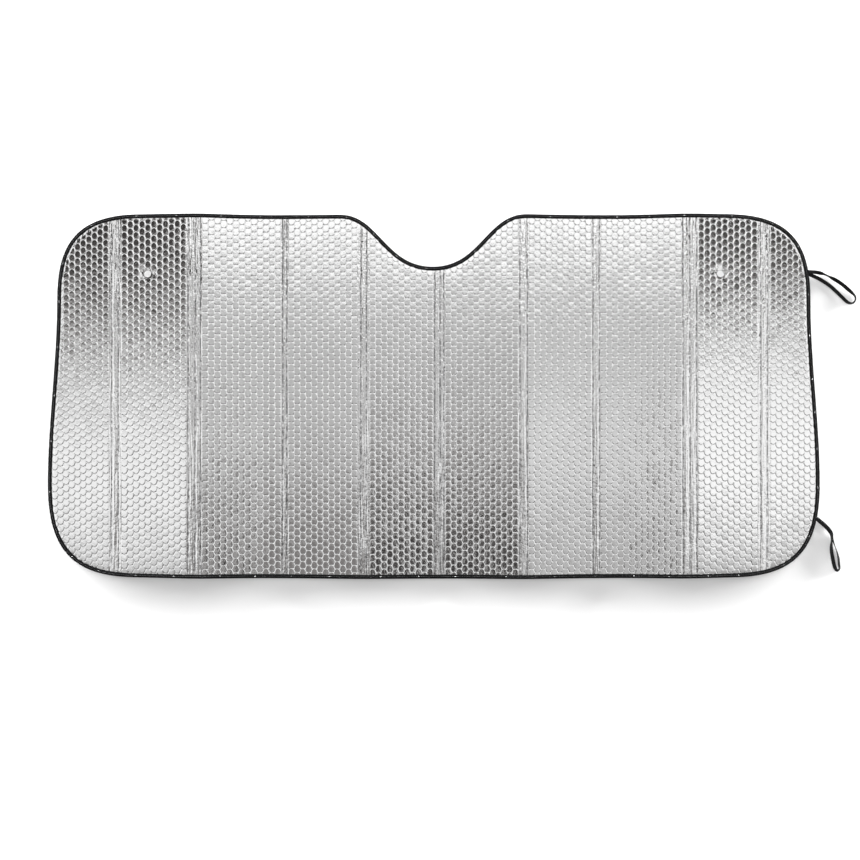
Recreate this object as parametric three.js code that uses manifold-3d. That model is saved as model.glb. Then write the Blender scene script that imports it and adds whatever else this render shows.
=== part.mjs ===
// Windscreen sunshade, opened out and lying on the floor with its silver face up: one sheet
// of bubble foil, pressed into fold bands so that it folds like a concertina, with a notch
// for the rear-view mirror and two holes for suction cups, bound round its whole edge with
// black tape, and with two flat elastic loops that hold it shut when it is folded.
// Millimetres. X runs across the windscreen, Y up it, and Z up from the floor. The origin is
// on the floor, under the middle of the sheet.

import * as THREE from 'three';
import { mergeVertices } from 'three/addons/utils/BufferGeometryUtils.js';
import Module from 'manifold-3d';

const wasm = await Module();
wasm.setup();

// Outline of the bound sheet, seen from above
const sheetWidth = 1280; // across the widest part, above the lower corners
const shoulderWidth = 1249; // across the sheet where the upper corners begin
const sheetHeight = 603;
const lowerBow = 3; // how far the lower edge bows down in its middle
const upperCorner = { start: 490, end: 160.5, reachAlong: 110, reachDown: 84.6 };
const lowerCorner = { start: 491, end: -146, reachAlong: 93, reachDown: 123 };
const sideReach = 102; // how far each end of the flared side runs straight
const curveSteps = 10;

// Notch for the stem of the rear-view mirror, in the upper edge
const notchCentreX = -2;
const notchHalfWidth = 154.4;
const notchDepth = 85.6;
const notchShoulderReach = 66;
const notchFloorReach = 79.6;

// Bubble foil: a thin laminate that carries columns of bubbles on both faces
const coreThickness = 1.6; // foil and film where the bubbles are pressed flat
const bubbleHeight = 1; // above the pressed laminate, on each face
const bubblePitch = 9.53;
const bubbleCrown = 5.6; // width of the nearly flat top of a column
const bubbleCrownRise = 0.18;
const grooveHeight = 0.12; // what is left above the pressed laminate between two columns
const backBubbleCrown = 7.2;

// Fold bands, from left to right: middle, width across, and the creases pressed into each.
// The opened sheet keeps some of its folding, so every second band stands up as a crest
const folds = [
  { x: -527, width: 22, creases: 2 },
  { x: -394, width: 26, creases: 3, rise: 12 },
  { x: -247, width: 13, creases: 2 },
  { x: -116, width: 21, creases: 2, rise: 5 },
  { x: 9, width: 21, creases: 3 },
  { x: 148, width: 18, creases: 2, rise: 7 },
  { x: 269, width: 16, creases: 2 },
  { x: 421, width: 28, creases: 3, rise: 12 },
  { x: 546, width: 22, creases: 2 },
];
const creaseHeight = 0.5; // of the raised foil between two creases
const creaseFloor = 0.08;

// The sheet sags to the floor between two crests and towards its ends
const sagPower = 1.3;
const flatShare = 0.2; // share of each span that lies flat on the floor
const endFlat = 42; // length that lies flat at each end
const stationStep = 32; // longest step between two sampled heights

// Holes for suction cups, each in a round patch where the bubbles are pressed flat
const cupSpacing = 944.8;
const cupHoleY = 202.7;
const cupHoleDiameter = 10.3;
const cupPatchDiameter = 19;
const cupSides = 28;

// Binding tape, folded over the pressed edge of the sheet
const bindingWidth = 7;
const tapeThickness = 0.6;
const tapeFoldThickness = 1;
const clearance = 0.3;

// Flat elastic loops, each one band whose two ends leave the binding one above the other.
// Each point is x, y, z and the roll of the band: 0 degrees where it lies flat, 90 where it
// stands on its edge
const elasticWidth = 6;
const elasticThickness = 1.2;
const elasticCorner = 0.35;
const elasticSteps = 44;
const upperLoopPoints = [
  [622.2, 207.1, 2.7, 0],
  [633.3, 206.5, 2.1, 4],
  [640.4, 205.2, 2.0, 25],
  [647.6, 202.6, 3.1, 78],
  [654.4, 199.6, 3.1, 80],
  [661.3, 196.3, 2.6, 50],
  [670.3, 191.4, 1.6, 20],
  [678.4, 185.8, 1.4, 14],
  [686.0, 179.0, 1.9, 28],
  [692.5, 172.8, 2.7, 60],
  [697.2, 167.6, 3.1, 85],
  [698.8, 163.0, 3.1, 90],
  [697.4, 158.4, 3.1, 85],
  [693.6, 155.2, 2.8, 62],
  [688.5, 155.8, 1.8, 28],
  [683.6, 159.2, 1.1, 10],
  [679.2, 163.6, 0.8, 3],
  [670.3, 172.4, 0.75, 0],
  [660.7, 181.3, 0.75, 0],
  [651.2, 188.6, 0.75, 0],
  [638.5, 196.2, 0.75, 0],
  [629.0, 200.7, 0.85, 0],
  [623.3, 203.1, 1.0, 0],
];
const lowerLoopPoints = [
  [636.3, -203.8, 2.75, 0],
  [642.3, -208.9, 2.4, 0],
  [649.6, -215.3, 2.4, 0],
  [655.2, -221.5, 3.0, 15],
  [657.9, -227.2, 3.8, 60],
  [658.7, -233.0, 3.1, 90],
  [659.2, -239.5, 3.1, 88],
  [658.6, -247.0, 3.0, 70],
  [659.2, -256.0, 2.5, 50],
  [661.3, -267.0, 2.0, 35],
  [663.6, -277.5, 1.9, 30],
  [666.0, -285.2, 2.4, 40],
  [669.3, -288.2, 2.7, 48],
  [672.2, -284.8, 2.4, 40],
  [671.9, -277.0, 1.9, 30],
  [670.8, -267.5, 2.0, 35],
  [668.6, -258.5, 2.5, 50],
  [665.5, -249.6, 3.0, 70],
  [662.4, -241.5, 3.1, 86],
  [660.4, -233.0, 3.1, 90],
  [659.3, -226.8, 3.0, 120],
  [656.1, -220.9, 1.5, 165],
  [650.4, -214.3, 0.75, 180],
  [643.1, -207.9, 0.75, 180],
  [636.7, -202.7, 1.05, 180],
];

// Heights of the layers about the middle of the laminate
const coreHalf = coreThickness / 2;
const bindingHalf = coreHalf + clearance + tapeThickness;
const lowestFace = coreHalf + bubbleHeight; // the underside of the bubbles meets the floor
const crests = folds
  .filter(({ rise }) => rise > 0)
  .map(({ x, width, rise }) => ({ left: x - width / 2, right: x + width / 2, rise }));
const highestCrest = Math.max(...crests.map(({ rise }) => rise));

// Stretches that lie flat on the floor: the middle of each span between two crests, and both
// ends of the sheet
const floorEdge = sheetWidth / 2 + 1; // a little past the widest part
const flats = crests.slice(1).map((crest, index) => {
  const middle = (crests[index].right + crest.left) / 2;
  const reach = (flatShare * (crest.left - crests[index].right)) / 2;
  return { left: middle - reach, right: middle + reach, rise: 0 };
});
flats.unshift({ left: -floorEdge, right: endFlat - sheetWidth / 2, rise: 0 });
flats.push({ left: sheetWidth / 2 - endFlat, right: floorEdge, rise: 0 });
const levels = [...crests, ...flats].sort((a, b) => a.left - b.left);

// Height of the middle of the laminate above the floor, at a place across the sheet
function middleHeight(x) {
  const level = levels.find(({ left, right }) => x >= left && x <= right);
  if (level) return lowestFace + level.rise;
  const before = levels.findLast(({ right }) => right < x);
  const after = levels.find(({ left }) => left > x);
  const falling = before.rise > after.rise;
  const low = falling ? after.left : before.right;
  const high = falling ? before.right : after.left;
  const rise = Math.max(before.rise, after.rise);
  return lowestFace + rise * ((x - low) / (high - low)) ** sagPower;
}

// Places across the sheet where its height is sampled: both sides of every crest and flat,
// and even steps between them
function heightStations() {
  const marks = levels.flatMap(({ left, right }) => [left, right]);
  const stations = [marks[0]];
  for (let i = 1; i < marks.length; i += 1) {
    const steps = Math.ceil((marks[i] - marks[i - 1]) / stationStep);
    for (let k = 1; k <= steps; k += 1) {
      stations.push(marks[i - 1] + ((marks[i] - marks[i - 1]) * k) / steps);
    }
  }
  return stations;
}

const stations = heightStations();

// Height of the laminate as the sampled folds have it, straight between two stations
function foldedHeight(x) {
  const right = Math.max(1, stations.findIndex((station) => station >= x));
  const left = right - 1;
  const share = (x - stations[left]) / (stations[right] - stations[left]);
  return THREE.MathUtils.lerp(middleHeight(stations[left]), middleHeight(stations[right]), share);
}

// Outer edge of the bound sheet as a closed run of points, anticlockwise from above
function boundOutline() {
  const top = sheetHeight / 2;
  const bottom = lowerBow - sheetHeight / 2;
  const widest = sheetWidth / 2;
  const shoulder = shoulderWidth / 2;
  const { start: low, end: lowEnd } = lowerCorner;
  const { start: high, end: highEnd } = upperCorner;
  const lowerAlong = low + lowerCorner.reachAlong;
  const lowerDown = lowEnd - lowerCorner.reachDown;
  const upperAlong = high + upperCorner.reachAlong;
  const upperDown = highEnd + upperCorner.reachDown;
  const bowReach = bottom - (lowerBow * 4) / 3;
  const notchFloor = top - notchDepth;
  const notchRight = notchCentreX + notchHalfWidth;
  const notchLeft = notchCentreX - notchHalfWidth;
  const shape = new THREE.Shape();
  const curve = (first, second, end) => shape.bezierCurveTo(...first, ...second, ...end);
  shape.moveTo(-low, bottom);
  curve([-low / 2, bowReach], [low / 2, bowReach], [low, bottom]);
  curve([lowerAlong, bottom], [widest, lowerDown], [widest, lowEnd]);
  curve([widest, lowEnd + sideReach], [shoulder, highEnd - sideReach], [shoulder, highEnd]);
  curve([shoulder, upperDown], [upperAlong, top], [high, top]);
  shape.lineTo(notchRight, top);
  curve(
    [notchRight - notchShoulderReach, top],
    [notchCentreX + notchFloorReach, notchFloor],
    [notchCentreX, notchFloor],
  );
  curve(
    [notchCentreX - notchFloorReach, notchFloor],
    [notchLeft + notchShoulderReach, top],
    [notchLeft, top],
  );
  shape.lineTo(-high, top);
  curve([-upperAlong, top], [-shoulder, upperDown], [-shoulder, highEnd]);
  curve([-shoulder, highEnd - sideReach], [-widest, lowEnd + sideReach], [-widest, lowEnd]);
  curve([-widest, lowerDown], [-lowerAlong, bottom], [-low, bottom]);
  const points = shape.getPoints(curveSteps);
  return points.filter((point, i) => i === 0 || point.distanceTo(points[0]) > 0.01);
}

// The same run with a point wherever it crosses a height station, so that it can follow the
// folds of the sheet
function followingStations(points) {
  const run = [];
  points.forEach((from, i) => {
    const to = points[(i + 1) % points.length];
    const low = Math.min(from.x, to.x) + stationStep / 6;
    const high = Math.max(from.x, to.x) - stationStep / 6;
    const crossed = stations.filter((station) => station > low && station < high);
    if (to.x < from.x) crossed.reverse();
    run.push(from);
    crossed.forEach((station) => {
      run.push(from.clone().lerp(to, (station - from.x) / (to.x - from.x)));
    });
  });
  return run;
}

// Moves a closed anticlockwise run inwards by a distance, with mitred corners
function insetRun(points, distance) {
  return points.map((point, i) => {
    const before = points[(i + points.length - 1) % points.length];
    const after = points[(i + 1) % points.length];
    const inward = (from, to) => new THREE.Vector2(from.y - to.y, to.x - from.x).normalize();
    const first = inward(before, point);
    const second = inward(point, after);
    const mitre = first.clone().add(second).normalize();
    return point.clone().addScaledVector(mitre, distance / mitre.dot(second));
  });
}

// A closed mesh as a solid for cutting and joining, and back again
function toSolid(geometry) {
  const bare = geometry.clone();
  bare.deleteAttribute('normal');
  bare.deleteAttribute('uv');
  const merged = mergeVertices(bare, 1e-4);
  return new wasm.Manifold(new wasm.Mesh({
    numProp: 3,
    vertProperties: new Float32Array(merged.attributes.position.array),
    triVerts: new Uint32Array(merged.index.array),
  }));
}

function toGeometry(solid) {
  const { vertProperties, triVerts } = solid.getMesh();
  const geometry = new THREE.BufferGeometry();
  geometry.setAttribute('position', new THREE.BufferAttribute(vertProperties, 3));
  geometry.setIndex(new THREE.BufferAttribute(triVerts, 1));
  return geometry;
}

// Upright prism over a closed run of points, taller than the folded sheet
function uprightPrism(points) {
  const reach = highestCrest + 4 * lowestFace;
  const geometry = new THREE.ExtrudeGeometry(new THREE.Shape(points), {
    depth: 2 * reach,
    bevelEnabled: false,
  });
  return toSolid(geometry.translate(0, 0, -reach));
}

// Solid under a profile of the sheet that runs the whole height of it. Both edges of the
// profile are runs of x and z, from left to right
function profileSlab(upper, lower) {
  const profile = new THREE.Shape([...lower, ...upper.slice().reverse()]);
  const geometry = new THREE.ExtrudeGeometry(profile, {
    depth: sheetHeight + 2 * bindingWidth,
    bevelEnabled: false,
  });
  geometry.rotateX(Math.PI / 2);
  return toSolid(geometry.translate(0, sheetHeight / 2 + bindingWidth, 0));
}

// Fold band that a place across the sheet lies in, with a margin, if it lies in one
function foldAt(x, margin) {
  return folds.find((fold) => Math.abs(x - fold.x) < fold.width / 2 + margin);
}

// One face of the bubble foil in profile: a rounded column for each bubble, and a pressed
// band with its creases at each fold. The side is 1 for the upper face and -1 for the back
function faceProfile(side) {
  const edge = sheetWidth / 2;
  const run = [];
  const add = (x, height) => {
    run.push(new THREE.Vector2(x, foldedHeight(x) + side * (coreHalf + height)));
  };
  const columns = [];
  const reach = Math.floor(edge / bubblePitch);
  for (let k = -reach; k < reach; k += 1) {
    const middle = (k + 0.5) * bubblePitch;
    if (!foldAt(middle, bubblePitch / 2)) columns.push({ x: middle });
  }
  const pieces = [...columns, ...folds].sort((a, b) => a.x - b.x);
  add(-edge, creaseFloor);
  pieces.forEach((piece) => {
    if (piece.creases) {
      addCreases(add, piece);
    } else if (side > 0) {
      add(piece.x - bubblePitch / 2, grooveHeight);
      add(piece.x - bubbleCrown / 2, bubbleHeight - bubbleCrownRise);
      add(piece.x, bubbleHeight);
      add(piece.x + bubbleCrown / 2, bubbleHeight - bubbleCrownRise);
    } else {
      add(piece.x - bubblePitch / 2, grooveHeight);
      add(piece.x - backBubbleCrown / 2, bubbleHeight);
      add(piece.x + backBubbleCrown / 2, bubbleHeight);
    }
  });
  add(edge, creaseFloor);
  return run;
}

// Creases of one fold band: pressed lines with a low crumpled rise between each two
function addCreases(add, fold) {
  const spacing = fold.width / fold.creases;
  for (let k = 0; k < fold.creases; k += 1) {
    const left = fold.x - fold.width / 2 + k * spacing;
    add(left, creaseFloor);
    add(left + spacing / 2, creaseHeight);
  }
  add(fold.x + fold.width / 2, creaseFloor);
}

// Upright round cutter at one hole, through the whole sheet
function cupCutter(side, diameter) {
  const cutter = new THREE.CylinderGeometry(diameter / 2, diameter / 2, 8 * lowestFace, cupSides);
  cutter.rotateX(Math.PI / 2);
  const x = (side * cupSpacing) / 2;
  return toSolid(cutter.translate(x, cupHoleY, middleHeight(x)));
}

// Profile that keeps one distance from the middle of the laminate
function level(offset) {
  return stations.map((x) => new THREE.Vector2(x, middleHeight(x) + offset));
}

// The sheet: the pressed laminate out to its edge, and the bubbles inside the binding
function bubblePanel(outline) {
  const core = profileSlab(level(coreHalf), level(-coreHalf));
  const bubbles = profileSlab(faceProfile(1), faceProfile(-1));
  const coreEdge = uprightPrism(insetRun(outline, tapeFoldThickness + clearance));
  const bubbleEdge = uprightPrism(insetRun(outline, bindingWidth + clearance));
  const pressedPatches = cupCutter(-1, cupPatchDiameter).add(cupCutter(1, cupPatchDiameter));
  const holes = cupCutter(-1, cupHoleDiameter).add(cupCutter(1, cupHoleDiameter));
  const raised = bubbles.intersect(bubbleEdge).subtract(pressedPatches);
  return core.intersect(coreEdge).add(raised).subtract(holes);
}

// Outside of the folded tape in section, as inset from the edge and height about the laminate
function tapeSection() {
  const section = [new THREE.Vector2(bindingWidth, bindingHalf)];
  for (let k = 0; k <= 4; k += 1) {
    const angle = (k * Math.PI) / 4;
    section.push(new THREE.Vector2(
      bindingHalf * (1 - Math.sin(angle)),
      bindingHalf * Math.cos(angle),
    ));
  }
  section.push(new THREE.Vector2(bindingWidth, -bindingHalf));
  return section;
}

// A rim of the folded tape's outside, carried round the whole edge and over the folds
function tapeRim(outline) {
  const section = tapeSection();
  const positions = [];
  section.forEach((corner) => {
    insetRun(outline, corner.x).forEach((point) => {
      positions.push(point.x, point.y, foldedHeight(point.x) + corner.y);
    });
  });
  const count = outline.length;
  const index = [];
  section.forEach((corner, row) => {
    const next = (row + 1) % section.length;
    outline.forEach((point, i) => {
      const j = (i + 1) % count;
      const [a, b] = [row * count + i, row * count + j];
      const [c, d] = [next * count + i, next * count + j];
      index.push(a, c, b, b, c, d);
    });
  });
  const geometry = new THREE.BufferGeometry();
  geometry.setAttribute('position', new THREE.Float32BufferAttribute(positions, 3));
  geometry.setIndex(index);
  return toSolid(geometry);
}

// The binding: the rim, with the channel that takes the pressed edge of the sheet
function edgeBinding(outline) {
  const inner = bindingHalf - tapeThickness;
  const channel = profileSlab(level(inner), level(-inner));
  const channelEnd = uprightPrism(insetRun(outline, tapeFoldThickness));
  return tapeRim(outline).subtract(channel.intersect(channelEnd));
}

// Smooth route of a flat band, which also rolls about its own length
class BandRoute extends THREE.CatmullRomCurve3 {
  constructor(points) {
    super(points.map(([x, y, z]) => new THREE.Vector3(x, y, z)), false, 'centripetal');
    this.rolls = points.map((point) => THREE.MathUtils.degToRad(point[3]));
  }

  rollAt(share) {
    const place = this.getUtoTmapping(share) * (this.rolls.length - 1);
    const before = Math.min(Math.floor(place), this.rolls.length - 2);
    return THREE.MathUtils.lerp(this.rolls[before], this.rolls[before + 1], place - before);
  }

  computeFrenetFrames(segments) {
    const frames = { tangents: [], normals: [], binormals: [] };
    for (let k = 0; k <= segments; k += 1) {
      const tangent = this.getTangentAt(k / segments);
      const across = new THREE.Vector3(-tangent.y, tangent.x, 0).normalize();
      const normal = across.applyAxisAngle(tangent, this.rollAt(k / segments));
      frames.tangents.push(tangent);
      frames.normals.push(normal);
      frames.binormals.push(new THREE.Vector3().crossVectors(tangent, normal));
    }
    return frames;
  }
}

// A flat elastic loop: a band with bevelled edges along its route
function elasticLoop(points) {
  const half = elasticWidth / 2;
  const thick = elasticThickness / 2;
  const section = new THREE.Shape();
  section.moveTo(-half, -thick + elasticCorner);
  section.lineTo(-half + elasticCorner, -thick);
  section.lineTo(half - elasticCorner, -thick);
  section.lineTo(half, -thick + elasticCorner);
  section.lineTo(half, thick - elasticCorner);
  section.lineTo(half - elasticCorner, thick);
  section.lineTo(-half + elasticCorner, thick);
  section.lineTo(-half, thick - elasticCorner);
  return new THREE.ExtrudeGeometry(section, {
    steps: elasticSteps,
    extrudePath: new BandRoute(points),
    bevelEnabled: false,
  });
}

// Materials
const silverFoil = new THREE.MeshStandardMaterial({ color: 0xd6d8da, roughness: 0.22, metalness: 1 });
const blackTape = new THREE.MeshStandardMaterial({ color: 0x151516, roughness: 0.7, metalness: 0 });
const blackElastic = new THREE.MeshStandardMaterial({ color: 0x0f0f10, roughness: 0.85, metalness: 0 });

const sunshade = new THREE.Group();

function addPart(name, geometry, material) {
  const part = new THREE.Mesh(geometry, material);
  part.name = name;
  sunshade.add(part);
}

const outline = followingStations(boundOutline());
addPart('foil_bubble_panel', toGeometry(bubblePanel(outline)), silverFoil);
addPart('edge_binding', toGeometry(edgeBinding(outline)), blackTape);
addPart('upper_elastic_loop', elasticLoop(upperLoopPoints), blackElastic);
addPart('lower_elastic_loop', elasticLoop(lowerLoopPoints), blackElastic);

export default sunshade;
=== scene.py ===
"""Looks of a windscreen sunshade of silver bubble foil, opened out and lying on the floor.

Metres. X runs across the windscreen, Y up it, and Z up from the floor, out of the silver face.
"""

import math
import random

import bpy
import numpy as np
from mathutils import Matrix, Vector, noise


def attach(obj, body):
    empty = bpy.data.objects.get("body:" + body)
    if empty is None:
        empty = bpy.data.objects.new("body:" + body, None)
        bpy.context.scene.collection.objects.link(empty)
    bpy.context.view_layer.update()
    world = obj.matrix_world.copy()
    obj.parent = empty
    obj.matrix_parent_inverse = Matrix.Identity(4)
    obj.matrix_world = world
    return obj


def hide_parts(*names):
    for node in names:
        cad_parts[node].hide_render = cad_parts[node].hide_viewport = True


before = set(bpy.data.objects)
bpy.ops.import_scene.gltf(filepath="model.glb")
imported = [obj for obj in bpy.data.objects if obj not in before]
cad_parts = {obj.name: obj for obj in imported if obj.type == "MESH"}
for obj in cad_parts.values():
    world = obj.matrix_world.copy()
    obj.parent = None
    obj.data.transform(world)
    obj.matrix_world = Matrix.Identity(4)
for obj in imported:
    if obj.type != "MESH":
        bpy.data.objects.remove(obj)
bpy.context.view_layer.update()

# Outline of the bound sheet
SHEET_WIDTH = 1.280
SHOULDER_WIDTH = 1.249
SHEET_HEIGHT = 0.603
LOWER_BOW = 0.003
UPPER_CORNER = {"start": 0.490, "end": 0.1605, "along": 0.110, "down": 0.0846}
LOWER_CORNER = {"start": 0.491, "end": -0.146, "along": 0.093, "down": 0.123}
SIDE_REACH = 0.102
NOTCH_CENTRE = -0.002
NOTCH_HALF_WIDTH = 0.1544
NOTCH_DEPTH = 0.0856
NOTCH_SHOULDER_REACH = 0.066
NOTCH_FLOOR_REACH = 0.0796
OUTLINE_STEPS = 40  # in each run of it

# Fold bands: middle, width, creases, and how far a crest stands up
FOLDS = [
    (-0.527, 0.022, 2, 0.0),
    (-0.394, 0.026, 3, 0.012),
    (-0.247, 0.013, 2, 0.0),
    (-0.116, 0.021, 2, 0.005),
    (0.009, 0.021, 3, 0.0),
    (0.148, 0.018, 2, 0.007),
    (0.269, 0.016, 2, 0.0),
    (0.421, 0.028, 3, 0.012),
    (0.546, 0.022, 2, 0.0),
]
SAG_POWER = 1.3  # bend of the sheet on its way up from the floor to a crest
SAG_STEPS = 60
FLAT_SHARE = 0.2  # of the stretch between two crests, which lies on the floor
END_FLAT = 0.042  # width of the stretch that lies on the floor at each end
PAST_END = 0.001  # these stretches run on past the sheet's ends

# Gentle waves of the lying sheet
WAVE_MEAN = 0.00022
WIDE_WAVE = {"height": 0.00016, "across": 9, "up": 7}
NARROW_WAVE = {"height": 0.00006, "across": 23, "up": 17}
WAVE_FULL = 0.035  # this far in from the edge they have their full height

# Layers of the sheet, above and below the middle of the laminate
CORE_HALF = 0.0008
BUBBLE_HEIGHT = 0.001
HALF_THICKNESS = CORE_HALF + BUBBLE_HEIGHT
CORNER_LIFT = 0.0004  # film between the bubbles, above the core
PRESSED_LIFT = 0.00008  # foil that is pressed flat, above the core
FLOOR_GAP = 0.00002  # no point is nearer to the floor

# Bubbles: columns across the sheet, and rows up it
COLUMN_PITCH = 0.00953
ROW_PITCH = 0.0121
LAST_ROW = 51  # in half rows from the middle
COLUMN_OVERHANG = 0.002  # past the sheet's ends, before it is cut out
COLUMN_OFFSET = 0.0014  # how far a bubble's side corners stand out between its neighbours
CROWN_SHARE = 0.94  # size of a bubble's flat top, of the cell that it stands in
CROWN_REACH = (0.0049, 0.0061)  # at most, across the sheet and up it
CROWN_SIDES = 12

# Unevenness of the bubbles
CORNER_STRAY = 0.00012
CORNER_UNEVEN = 0.0001
CROWN_STRAY = 0.00006
CROWN_TILT = 0.008
CROWN_SUNK = 0.0001
CROWN_DOME = (0.00014, 0.00024)
BACK_UNEVEN = 0.4  # of the front's unevenness

# Crumpled foil of the fold bands: heights above the core, and how they vary up the sheet
BAND_COLUMN = 0.0029  # between two columns of points
BAND_LIFT = 0.0007
BAND_RIDGE = 0.0004
BAND_SWELL = 0.0005
BAND_PRESSED = 0.00012
BAND_CRUSH = 0.00015
BAND_SWAY = 0.0004
CREASE_SWELL = 0.0001
CREASE_SHARES = {2: (0.22, 0.78), 3: (0.14, 0.52, 0.86)}  # of the width, by count
SWELL_RATE = 22
SWAY_RATE = 30

# Seeds of random draws, and layers of smooth noise
FRONT_SEED, BACK_SEED, STITCH_SEED = 11, 12, 41
WIDE_LAYER, NARROW_LAYER, SWELL_LAYER, SWAY_LAYER, TAPE_LAYER = 3.1, 8.7, 1.3, 2.2, 4.4

# Holes for suction cups
CUP_HOLES = [(-0.4724, 0.2027), (0.4724, 0.2027)]
CUP_HOLE_RADIUS = 0.00515
CUP_PATCH_RADIUS = 0.0078
CUP_CLEARANCE = 0.0004  # bubbles nearer than this to the patch give way to it
CUP_RIM_LIFT = 0.0005  # highest film round the patch, above the core
CUP_SIDES = 28
CUP_RINGS = [  # from the patch's rim into the hole: radius, and height above the core
    (CUP_PATCH_RADIUS, 0.00030),
    (CUP_HOLE_RADIUS + 0.0010, 0.00024),
    (CUP_HOLE_RADIUS + 0.0003, 0.00018),
    (CUP_HOLE_RADIUS, -0.0001),
    (CUP_HOLE_RADIUS, -CORE_HALF),
]

# Binding tape and its stitches
BINDING_WIDTH = 0.007
BINDING_SPACING = 0.004
BINDING_SECTION = [  # upper half, from its inner edge: inset, and height above the sheet's middle
    (0.0070, 0.00092),
    (0.0070, 0.00128),
    (0.0067, 0.00142),
    (0.0055, 0.00154),
    (0.0042, 0.00160),
    (0.0036, 0.00146),
    (0.0030, 0.00162),
    (0.0020, 0.00166),
    (0.0011, 0.00150),
    (0.0004, 0.00108),
    (0.0001, 0.00055),
]
BINDING_SLOT = [(0.0012, -0.0009), (0.0012, 0.0009)]  # bottom of the slot for the sheet's edge
BINDING_CLOSING = 0.001  # width that the weave counts for the last strip of the section
BINDING_LEVEL = 0.003  # the section is level across from this inset inwards
BINDING_SWAY = {"most": 0.0003, "rate": 19, "start": 0.004, "reach": 0.003}  # of its inner edge
FOIL_EDGE_INSET = 0.003  # the foil ends here, inside the folded tape
FOIL_RISE = (BINDING_WIDTH - 0.0004, BINDING_WIDTH + 0.0022)  # from pressed flat to full height
STITCH_INSET = 0.0036
STITCH_PITCH = 0.004
STITCH_LENGTH = 0.0031
STITCH_HEIGHT = 0.00158  # of the thread's middle, above the laminate's middle
STITCH_SIDES = 5
STITCH_STATIONS = [(-0.5, -0.00035), (-0.36, 0.00008), (0.36, 0.00008), (0.5, -0.00035)]
STITCH_STRAY = 0.00008
STITCH_SLANT = 0.03
# Painted glints: now and then one stitch on the front face is pale grey
FIRST_GLINT_STITCH = 12
GLINT_STITCH_GAPS = (13, 21)
THREAD_RADIUS = 0.00019

# Flat elastic loops: x, y, z and the roll of the band in degrees
ELASTIC_WIDTH = 0.006
ELASTIC_THICKNESS = 0.0012
ELASTIC_SUNK = 0.0022  # how far each end reaches in under the tape's edge
ELASTIC_FLOOR_GAP = 0.00003  # no point is nearer to the floor
ELASTIC_RIBS = 6
POINTS_PER_RIB = 4
RIB_DEPTH = 0.0001
ELASTIC_EDGE = 0.35  # thickness at its edges, of that in its middle
ELASTIC_FLATNESS = 8  # a higher power gives the band squarer edges
ROUTE_STEPS = 6  # between two points of a loop
UPPER_LOOP = [
    (0.6222, 0.2071, 0.0027, 0),
    (0.6333, 0.2065, 0.0021, 4),
    (0.6404, 0.2052, 0.0020, 25),
    (0.6476, 0.2026, 0.0031, 78),
    (0.6544, 0.1996, 0.0031, 80),
    (0.6613, 0.1963, 0.0026, 50),
    (0.6703, 0.1914, 0.0016, 20),
    (0.6784, 0.1858, 0.0014, 14),
    (0.6860, 0.1790, 0.0019, 28),
    (0.6925, 0.1728, 0.0027, 60),
    (0.6972, 0.1676, 0.0031, 85),
    (0.6988, 0.1630, 0.0031, 90),
    (0.6974, 0.1584, 0.0031, 85),
    (0.6936, 0.1552, 0.0028, 62),
    (0.6885, 0.1558, 0.0018, 28),
    (0.6836, 0.1592, 0.0011, 10),
    (0.6792, 0.1636, 0.0008, 3),
    (0.6703, 0.1724, 0.00075, 0),
    (0.6607, 0.1813, 0.00075, 0),
    (0.6512, 0.1886, 0.00075, 0),
    (0.6385, 0.1962, 0.00075, 0),
    (0.6290, 0.2007, 0.00085, 0),
    (0.6233, 0.2031, 0.0010, 0),
]
LOWER_LOOP = [
    (0.6363, -0.2038, 0.00275, 0),
    (0.6423, -0.2089, 0.0024, 0),
    (0.6496, -0.2153, 0.0024, 0),
    (0.6552, -0.2215, 0.0030, 15),
    (0.6579, -0.2272, 0.0038, 60),
    (0.6587, -0.2330, 0.0031, 90),
    (0.6592, -0.2395, 0.0031, 88),
    (0.6586, -0.2470, 0.0030, 70),
    (0.6592, -0.2560, 0.0025, 50),
    (0.6613, -0.2670, 0.0020, 35),
    (0.6636, -0.2775, 0.0019, 30),
    (0.6660, -0.2852, 0.0024, 40),
    (0.6693, -0.2882, 0.0027, 48),
    (0.6722, -0.2848, 0.0024, 40),
    (0.6719, -0.2770, 0.0019, 30),
    (0.6708, -0.2675, 0.0020, 35),
    (0.6686, -0.2585, 0.0025, 50),
    (0.6655, -0.2496, 0.0030, 70),
    (0.6624, -0.2415, 0.0031, 86),
    (0.6604, -0.2330, 0.0031, 90),
    (0.6593, -0.2268, 0.0030, 120),
    (0.6561, -0.2209, 0.0015, 165),
    (0.6504, -0.2143, 0.00075, 180),
    (0.6431, -0.2079, 0.00075, 180),
    (0.6367, -0.2027, 0.00105, 180),
]

# Camera: straight above, with this width across the picture
CAMERA_HEIGHT = 1.6
PICTURE_WIDTH = 1.425
PICTURE_CENTRE = (-0.0063, -0.055)
PICTURE_LEVEL = 0.003  # the picture's width is measured at this height, near the sheet's face


def smoothstep(low, high, value):
    share = np.clip((value - low) / (high - low), 0, 1)
    return share * share * (3 - 2 * share)


def add_camera():
    data = bpy.data.cameras.new("camera")
    data.lens = data.sensor_width * CAMERA_HEIGHT / PICTURE_WIDTH
    camera = bpy.data.objects.new("camera", data)
    camera.location = (*PICTURE_CENTRE, CAMERA_HEIGHT + PICTURE_LEVEL)
    bpy.context.collection.objects.link(camera)
    bpy.context.scene.camera = camera


add_camera()


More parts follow.
